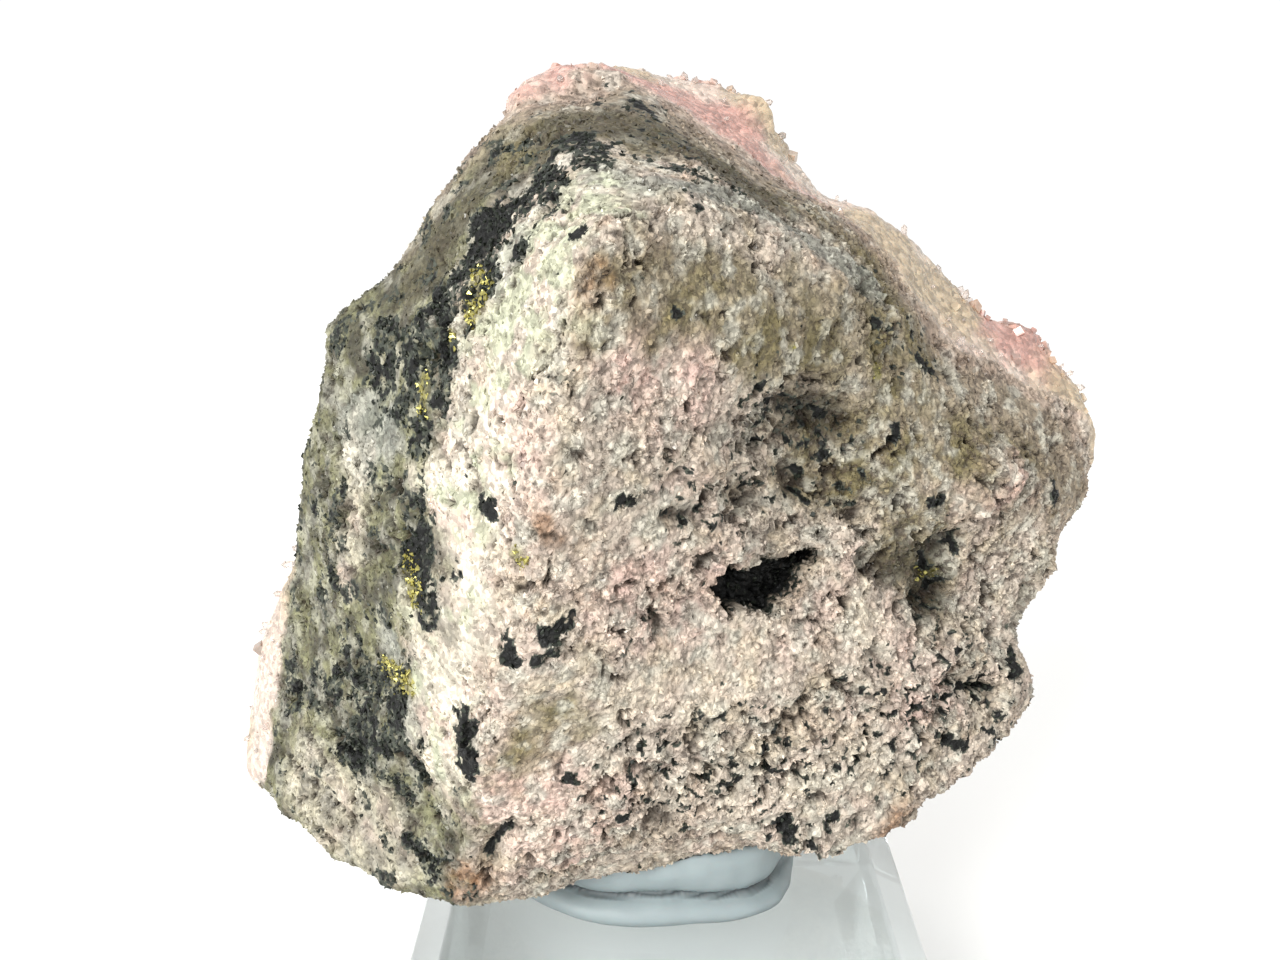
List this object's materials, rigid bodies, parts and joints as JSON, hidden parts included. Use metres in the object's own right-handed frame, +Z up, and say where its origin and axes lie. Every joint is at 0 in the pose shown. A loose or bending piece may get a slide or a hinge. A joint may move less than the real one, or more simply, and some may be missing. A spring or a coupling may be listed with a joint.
{
  "type": "rhodochrosite specimen",
  "caption": "Wedge of rough pink rhodochrosite and sulfide ore with a crystal crust, held upright by putty on a clear bevelled block.",
  "frame": {"origin": "centre of the acrylic block's underside, on the surface it stands on", "axes": "+Z up; +Y away from the side that shows the stone's ridge; +X to that viewer's right, along the stone's longest side"},
  "size_m": [0.0673, 0.0394, 0.0759],
  "materials": {
    "stone": "rough granular rock, pink and cream with black sulfide grains",
    "tack": "smooth matt blue-grey putty",
    "acrylic": "polished clear acrylic"
  },
  "bodies": {
    "root": {"stone": "stone", "tack_pad": "tack", "acrylic_block": "acrylic"}
  },
  "joints": []
}
